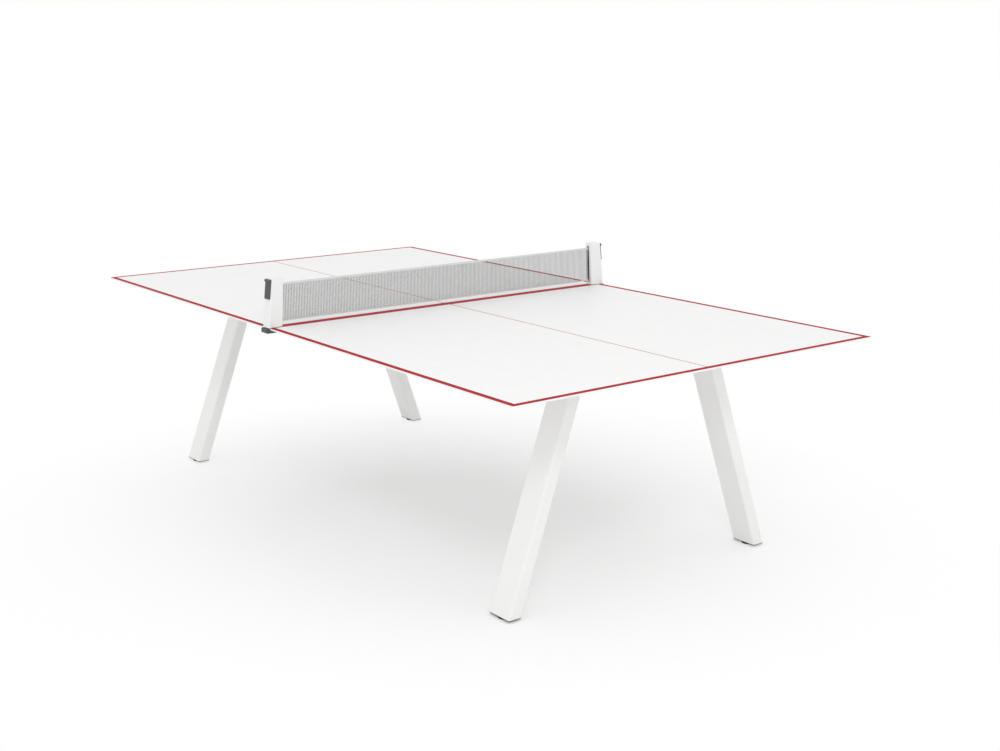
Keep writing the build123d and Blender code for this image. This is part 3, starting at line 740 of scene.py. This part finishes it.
def wound_spring(foot, head, reach, settings):
    """A compression spring of round wire from foot to head, wound close at both ends."""
    bm = bmesh.new()
    half = settings.wire / 2
    way = (head - foot).normalized()
    side = way.cross(ALONG_TABLE)
    closed = CLOSED_PITCH * settings.wire
    opened = ((head - foot).length - settings.wire - 2 * closed) / (settings.turns - 2)
    around = [2 * math.pi * k / WIRE_ROUND for k in range(WIRE_ROUND)]
    rings = []
    for i in range(settings.turns * ROUND + 1):
        turn = i / ROUND
        middle_turns = min(max(turn - 1.0, 0.0), settings.turns - 2.0)
        rise = half + closed * (turn - middle_turns) + opened * middle_turns
        angle = 2 * math.pi * turn
        spoke = ALONG_TABLE * math.cos(angle) + side * math.sin(angle)
        centre = foot + way * rise + spoke * (reach - half)
        rings.append([centre + (spoke * math.cos(a) + way * math.sin(a)) * half for a in around])
    skin_rings(bm, rings)
    return to_mesh("wound_spring", bm)


class PINGPONG_OT_lay_top(bpy.types.Operator):
    """Finish the two halves of the playing top and their printed lines"""

    bl_idname = "pingpong.lay_top"
    bl_label = "Playing top"

    def execute(self, context):
        colours = context.scene.table_finishes
        for half in HALVES:
            dress("top_" + half, laminate(colours))
            dress("lines_" + half, line_ink(colours))
        return {"FINISHED"}


class PINGPONG_OT_paint_frame(bpy.types.Operator):
    """Powder-coat the legs, beams, rails and leg plates"""

    bl_idname = "pingpong.paint_frame"
    bl_label = "Legs and underframe"

    def execute(self, context):
        colours, edges = context.scene.table_finishes, context.scene.table_edges
        coat = powder_coat(colours)
        for beam in BEAMS:
            dress("cross_beam_" + beam, coat)
        for side in SIDES:
            dress("side_rail_" + side, coat)
        for corner in CORNERS:
            dress("leg_" + corner, coat)
            dress("leg_plate_" + corner, coat, edges.plate)
        return {"FINISHED"}


class PINGPONG_OT_fit_caps_and_feet(bpy.types.Operator):
    """Finish the tube end caps, leg plugs and levelling feet"""

    bl_idname = "pingpong.fit_caps_and_feet"
    bl_label = "Caps and feet"

    def execute(self, context):
        black = black_plastic(context.scene.table_finishes)
        dress("beam_end_caps", black)
        dress("rail_end_caps", black)
        for corner in CORNERS:
            dress("leg_plug_" + corner, black)
            dress("foot_" + corner, black)
        return {"FINISHED"}


class PINGPONG_OT_drive_fasteners(bpy.types.Operator):
    """Replace the plain bolts and screws by turned ones with drive recesses"""

    bl_idname = "pingpong.drive_fasteners"
    bl_label = "Bolts and screws"

    def execute(self, context):
        sizes = context.scene.table_fasteners
        metal = zinc(context.scene.table_finishes)
        kinds = [
            ("plate_bolts", Z_AXIS, hexagon_reach, sizes.socket),
            ("top_screws", Z_AXIS, cross_reach, sizes.cross),
            *[("shell_screws_" + side, X_AXIS, cross_reach, sizes.cross) for side in SIDES],
        ]
        for node, axis, recess, reach in kinds:
            bm = bmesh.new()
            for low, high in islands(node):
                turned_head(bm, low, high, axis, recess, reach, sizes.depth)
            name = "turned_" + node
            piece = new_piece(name, to_mesh(name, bm), "table", metal, smooth=False)
            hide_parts(node)
        return {"FINISHED"}


class PINGPONG_OT_mould_posts(bpy.types.Operator):
    """Finish the net posts' casings and the pads under them"""

    bl_idname = "pingpong.mould_posts"
    bl_label = "Net posts"

    def execute(self, context):
        colours, edges = context.scene.table_finishes, context.scene.table_edges
        for side in SIDES:
            dress("shell_front_" + side, post_plastic(colours))
            dress("shell_back_" + side, post_plastic(colours))
            dress("post_pad_" + side, rubber(colours), edges.pad)
        return {"FINISHED"}


class PINGPONG_OT_set_clamps(bpy.types.Operator):
    """Finish the clamps' levers, jaws and pads, and wind their springs"""

    bl_idname = "pingpong.set_clamps"
    bl_label = "Clamps"

    def execute(self, context):
        colours, edges = context.scene.table_finishes, context.scene.table_edges
        for side in SIDES:
            dress("clamp_lever_" + side, clamp_plastic(colours), edges.clamp)
            dress("clamp_jaw_" + side, clamp_plastic(colours), edges.clamp)
            dress("jaw_pad_" + side, rubber(colours), edges.pad)
            self.wind_spring(side, spring_steel(colours), context.scene.table_springs)
        return {"FINISHED"}

    def wind_spring(self, side, steel, sizes):
        """Winds a clamp's spring along the clamp's slide."""
        node, slide = "clamp_spring_" + side, "clamp_" + side + "_slide"
        joint = next(joint for joint in frame["joints"] if joint["name"] == slide)
        way = -Vector(joint["axis"])
        low, high = corners(node)
        reach = (high.x - low.x) / 2
        tall = (high.z - low.z - 2 * reach * abs(way.y)) / way.z
        middle = (low + high) / 2
        foot, head = middle - way * (tall / 2), middle + way * (tall / 2)
        wire = wound_spring(foot, head, reach, sizes)
        spring = new_piece("wound_" + node, wire, "table", steel)
        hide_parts(node)
        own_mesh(spring)


class PINGPONG_OT_fit_roller(bpy.types.Operator):
    """Finish the net roller, its bushes and the bar that holds the net's other end"""

    bl_idname = "pingpong.fit_roller"
    bl_label = "Roller and end bar"

    def execute(self, context):
        colours = context.scene.table_finishes
        dress("net_roller", roller_metal(colours))
        dress("roller_bushes", bush_plastic(colours))
        # The end bar's black is partly its own plastic and partly painted shade of the slot it sits in
        dress("net_end_bar", black_plastic(colours))
        return {"FINISHED"}


class PINGPONG_OT_weave_net(bpy.types.Operator):
    """Weave the net and sew its tape and hem"""

    bl_idname = "pingpong.weave_net"
    bl_label = "Net"

    def execute(self, context):
        colours, sizes = context.scene.table_finishes, context.scene.table_net
        low, high = corners("net_mesh")
        inset = sizes.thread_width / 2
        low.z, high.z = low.z + 2 * inset, high.z - 2 * inset
        low.y, high.y = low.y + inset, high.y - inset
        net = new_piece("net_weave", woven_net(low, high, sizes), "table", net_cord(colours))
        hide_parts("net_mesh")
        bm = bmesh.new()
        for node, crest_up in (("net_tape", True), ("net_hem", False)):
            low, high = corners(node)
            if crest_up:
                low.z = high.z - sizes.tape_height
            else:
                high.z = low.z + sizes.hem_height
            mesh = folded_tape("folded_" + node, low, high, crest_up)
            band = new_piece("folded_" + node, mesh, "table", net_binding(colours))
            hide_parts(node)
            seam = SEAM_HEIGHT * (high.z - low.z)
            row = low.z + seam if crest_up else high.z - seam
            for x in (low.x, high.x):
                stitch_row(bm, low.y, high.y, SEAM_DEPTH * x, row, sizes)
        stitches = to_mesh("net_stitches", bm)
        thread = new_piece("net_stitches", stitches, "table", stitch_thread(colours))
        low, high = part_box("net_mesh")
        return {"FINISHED"}


def ray_share(tree):
    """Share of rays that see the background: those of the camera, of gloss and of glass."""
    rays = add_node(tree, "ShaderNodeLightPath").outputs
    seen = maths(tree, "MAXIMUM", rays["Is Camera Ray"], rays["Is Glossy Ray"])
    return maths(tree, "MAXIMUM", seen, rays["Is Transmission Ray"])


def mix_shaders(tree, factor, first, second):
    """Mixes two shaders by a factor, given back as an output."""
    return add_node(tree, "ShaderNodeMixShader", {0: factor, 1: first, 2: second}).outputs[0]


def floor_material(stage):
    """A pale floor that shows white, less the table's shadow, and is clear from below."""
    made = bpy.data.materials.new("Pale studio floor")
    made.use_nodes = True
    tree = made.node_tree
    tree.nodes.clear()
    bounce = add_node(tree, "ShaderNodeBsdfDiffuse", {"Color": rgba([stage.floor_grey] * 3)})
    shade = add_node(tree, "ShaderNodeBsdfDiffuse", {"Color": rgba([stage.floor_shade] * 3)})
    ends = {0: own_place(tree), 1: stage.shadow_place}
    away = add_node(tree, "ShaderNodeVectorMath", ends, operation="DISTANCE").outputs["Value"]
    fade = stretch(tree, away, stage.floor_near, stage.floor_far)
    lift = add_node(tree, "ShaderNodeEmission", {"Color": WHITE, "Strength": stage.floor_lift})
    shadowed = add_node(tree, "ShaderNodeAddShader", {0: shade.outputs[0], 1: lift.outputs[0]})
    plain = add_node(tree, "ShaderNodeEmission", {"Color": WHITE, "Strength": 1.0})
    shown = mix_shaders(tree, fade, shadowed.outputs[0], plain.outputs[0])
    mixed = mix_shaders(tree, ray_share(tree), bounce.outputs[0], shown)
    under = add_node(tree, "ShaderNodeNewGeometry").outputs["Backfacing"]
    clear = add_node(tree, "ShaderNodeBsdfTransparent")
    one_sided = mix_shaders(tree, under, mixed, clear.outputs[0])
    add_node(tree, "ShaderNodeOutputMaterial", {"Surface": one_sided})
    return made


def white_room(stage):
    """A world that lights from all sides, more from low down, and shows white."""
    world = bpy.data.worlds.new("White room")
    world.use_nodes = True
    tree = world.node_tree
    tree.nodes.clear()
    way = add_node(tree, "ShaderNodeTexCoord").outputs["Generated"]
    rise = add_node(tree, "ShaderNodeSeparateXYZ", {0: way}).outputs["Z"]
    level = maths(tree, "SUBTRACT", 1.0, maths(tree, "ABSOLUTE", rise))
    power = maths(tree, "MULTIPLY_ADD", maths(tree, "POWER", level, WALL_FALL), stage.horizon, stage.sky)
    light = add_node(tree, "ShaderNodeBackground", {"Color": WHITE, "Strength": power})
    white = add_node(tree, "ShaderNodeBackground", {"Color": WHITE, "Strength": 1.0})
    mixed = mix_shaders(tree, ray_share(tree), light.outputs[0], white.outputs[0])
    add_node(tree, "ShaderNodeOutputWorld", {"Surface": mixed})
    return world


def soft_lamp(name, place, target, size, power):
    """A square lamp that looks at a point and stays out of the picture."""
    lamp = bpy.data.lights.new(name, "AREA")
    lamp.shape = "SQUARE"
    lamp.size = size
    lamp.energy = power
    held = bpy.data.objects.new(name, lamp)
    held.location = place
    held.rotation_euler = (Vector(target) - Vector(place)).to_track_quat("-Z", "Y").to_euler()
    held.visible_camera = False
    bpy.context.scene.collection.objects.link(held)


class PINGPONG_OT_set_stage(bpy.types.Operator):
    """Lay the floor, hang the lamps and stand the camera"""

    bl_idname = "pingpong.set_stage"
    bl_label = "Studio"

    def execute(self, context):
        scene = context.scene
        stage = scene.table_stage
        half = stage.floor_size / 2
        mesh = bpy.data.meshes.new("studio_floor")
        points = [(-half, -half, 0), (half, -half, 0), (half, half, 0), (-half, half, 0)]
        mesh.from_pydata(points, [], [(0, 1, 2, 3)])
        floor = bpy.data.objects.new("studio_floor", mesh)
        mesh.materials.append(floor_material(stage))
        scene.collection.objects.link(floor)
        scene.world = white_room(stage)
        soft_lamp("top_lamp", stage.key_place, stage.key_target, stage.key_size, stage.key)
        soft_lamp("front_lamp", stage.front_place, stage.front_target, stage.front_size, stage.front)
        view = bpy.data.cameras.new("photo_camera")
        view.lens = stage.lens
        view.sensor_width = SENSOR_WIDTH
        view.shift_y = stage.rise
        camera = bpy.data.objects.new("photo_camera", view)
        camera.location = stage.camera_place
        camera.rotation_euler = stage.camera_turn
        scene.collection.objects.link(camera)
        scene.camera = camera
        scene.view_settings.view_transform = "Standard"
        return {"FINISHED"}


OPERATORS = (
    PINGPONG_OT_lay_top,
    PINGPONG_OT_paint_frame,
    PINGPONG_OT_fit_caps_and_feet,
    PINGPONG_OT_drive_fasteners,
    PINGPONG_OT_mould_posts,
    PINGPONG_OT_set_clamps,
    PINGPONG_OT_fit_roller,
    PINGPONG_OT_weave_net,
    PINGPONG_OT_set_stage,
)

SETTINGS = {
    "table_finishes": FinishSettings,
    "table_edges": EdgeSettings,
    "table_net": NetSettings,
    "table_fasteners": FastenerSettings,
    "table_springs": SpringSettings,
    "table_stage": StageSettings,
}


class PINGPONG_PT_table(bpy.types.Panel):
    """Settings and making steps of the table"""

    bl_idname = "PINGPONG_PT_table"
    bl_label = "Ping Pong Table"
    bl_space_type = "VIEW_3D"
    bl_region_type = "UI"
    bl_category = "Table"

    def draw(self, context):
        for name, kind in SETTINGS.items():
            box = self.layout.box()
            box.label(text=kind.__doc__)
            for key in kind.__annotations__:
                box.prop(getattr(context.scene, name), key)
        for operator in OPERATORS:
            self.layout.operator(operator.bl_idname)


CLASSES = (*SETTINGS.values(), *OPERATORS, PINGPONG_PT_table)


def register():
    """Makes the settings, the making steps and the panel known to Blender."""
    for kind in CLASSES:
        bpy.utils.register_class(kind)
    for name, kind in SETTINGS.items():
        setattr(bpy.types.Scene, name, PointerProperty(type=kind))


def unregister():
    """Takes them out again."""
    for name in SETTINGS:
        delattr(bpy.types.Scene, name)
    for kind in reversed(CLASSES):
        bpy.utils.unregister_class(kind)


def main():
    """Dresses the table and sets the studio."""
    register()
    bpy.ops.pingpong.lay_top()
    bpy.ops.pingpong.paint_frame()
    bpy.ops.pingpong.fit_caps_and_feet()
    bpy.ops.pingpong.drive_fasteners()
    bpy.ops.pingpong.mould_posts()
    bpy.ops.pingpong.set_clamps()
    bpy.ops.pingpong.fit_roller()
    bpy.ops.pingpong.weave_net()
    bpy.ops.pingpong.set_stage()


if __name__ == "__main__":
    main()
